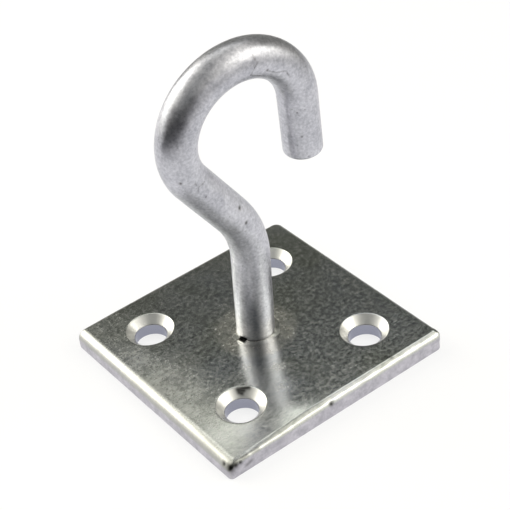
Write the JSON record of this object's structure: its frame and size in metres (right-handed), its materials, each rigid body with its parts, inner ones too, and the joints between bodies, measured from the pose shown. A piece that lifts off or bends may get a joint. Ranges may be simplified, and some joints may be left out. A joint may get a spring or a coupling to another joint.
{
  "type": "hook on plate",
  "caption": "Round bar bent to an open hook, welded upright into a square plate with countersunk screw holes, for hanging a rope, ring or chain.",
  "frame": {"origin": "centre of the plate's back face", "axes": "+Z out of the plate's front along the shank; X and Y along the plate's sides; the hook's mouth opens towards +X and it leans slightly towards -Y"},
  "size_m": [0.05, 0.05, 0.0681],
  "materials": {
    "zinc_plate": "dull hot-dip zinc, mottled and scratched",
    "zinc_bar": "satin hot-dip zinc, finely pitted",
    "zinc_foot": "run zinc over weld metal",
    "weld": "dressed weld under zinc"
  },
  "bodies": {
    "root": {"plate": "zinc_plate", "hook": "zinc_bar", "foot_ring": "zinc_foot", "rear_weld": "weld"}
  },
  "joints": []
}
